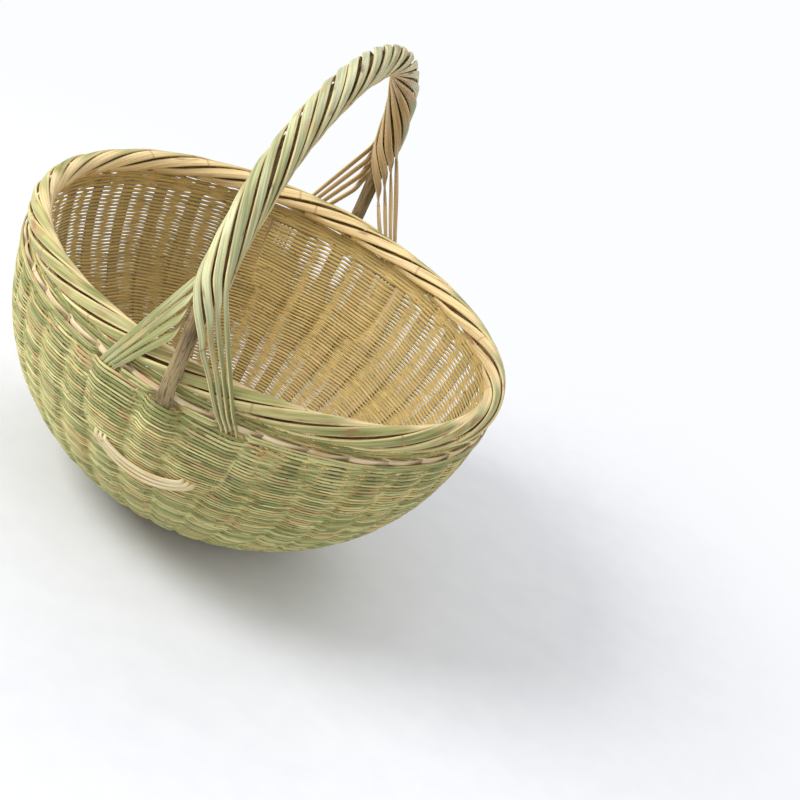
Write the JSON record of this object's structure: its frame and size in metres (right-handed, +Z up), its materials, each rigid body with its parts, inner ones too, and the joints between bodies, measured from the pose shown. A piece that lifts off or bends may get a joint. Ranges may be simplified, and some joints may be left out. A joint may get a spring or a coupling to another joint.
{
  "type": "bamboo vegetable basket",
  "caption": "Round bowl-shaped basket of woven split bamboo with a twisted rim and a fixed arched handle.",
  "frame": {"origin": "on the floor, at the middle of the flat round of the base", "axes": "+Z up, the handle's arch stands in the plane of Y and Z, +X to the right of someone who looks along +Y"},
  "size_m": [0.3594, 0.3914, 0.3583],
  "materials": {
    "base_weft": "dry split bamboo, woven tight, tan and green",
    "stake_bamboo": "flat split bamboo, pale cream",
    "weft_bamboo": "fine split bamboo, olive green skin outside, tan inside",
    "rim_splint_bamboo": "flat bamboo splints, pale green skin with cream edges, satin",
    "rim_core_bamboo": "bundled bamboo ends, brown, matt",
    "stick_wood": "brown bamboo stick, dull and spotted",
    "handle_splint_bamboo": "flat bamboo splints, pale yellow-green skin, satin",
    "loop_splint": "inner bamboo splint, pale cream"
  },
  "bodies": {
    "root": {"back_loop_1": "loop_splint", "back_loop_2": "loop_splint", "back_loop_3": "loop_splint", "base_weave": "base_weft", "front_loop_1": "loop_splint", "front_loop_2": "loop_splint", "front_loop_3": "loop_splint", "handle_splint_1": "handle_splint_bamboo", "handle_splint_2": "handle_splint_bamboo", "handle_splint_3": "handle_splint_bamboo", "handle_splint_4": "handle_splint_bamboo", "handle_splint_5": "handle_splint_bamboo", "handle_splint_6": "handle_splint_bamboo", "handle_splint_7": "handle_splint_bamboo", "handle_splint_8": "handle_splint_bamboo", "handle_stick": "stick_wood", "rim_core": "rim_core_bamboo", "rim_splint_1": "rim_splint_bamboo", "rim_splint_2": "rim_splint_bamboo", "rim_splint_3": "rim_splint_bamboo", "rim_splint_4": "rim_splint_bamboo", "rim_splint_5": "rim_splint_bamboo", "rim_splint_6": "rim_splint_bamboo", "stake_01": "stake_bamboo", "stake_02": "stake_bamboo", "stake_03": "stake_bamboo", "stake_04": "stake_bamboo", "stake_05": "stake_bamboo", "stake_06": "stake_bamboo", "stake_07": "stake_bamboo", "stake_08": "stake_bamboo", "stake_09": "stake_bamboo", "stake_10": "stake_bamboo", "stake_11": "stake_bamboo", "stake_12": "stake_bamboo", "stake_13": "stake_bamboo", "stake_14": "stake_bamboo", "stake_15": "stake_bamboo", "stake_16": "stake_bamboo", "stake_17": "stake_bamboo", "stake_18": "stake_bamboo", "weft_band_1": "weft_bamboo", "weft_band_2": "weft_bamboo", "weft_band_3": "weft_bamboo", "weft_band_4": "weft_bamboo", "weft_band_5": "weft_bamboo", "weft_band_6": "weft_bamboo", "weft_band_7": "weft_bamboo", "weft_band_8": "weft_bamboo", "weft_band_9": "weft_bamboo"}
  },
  "joints": []
}
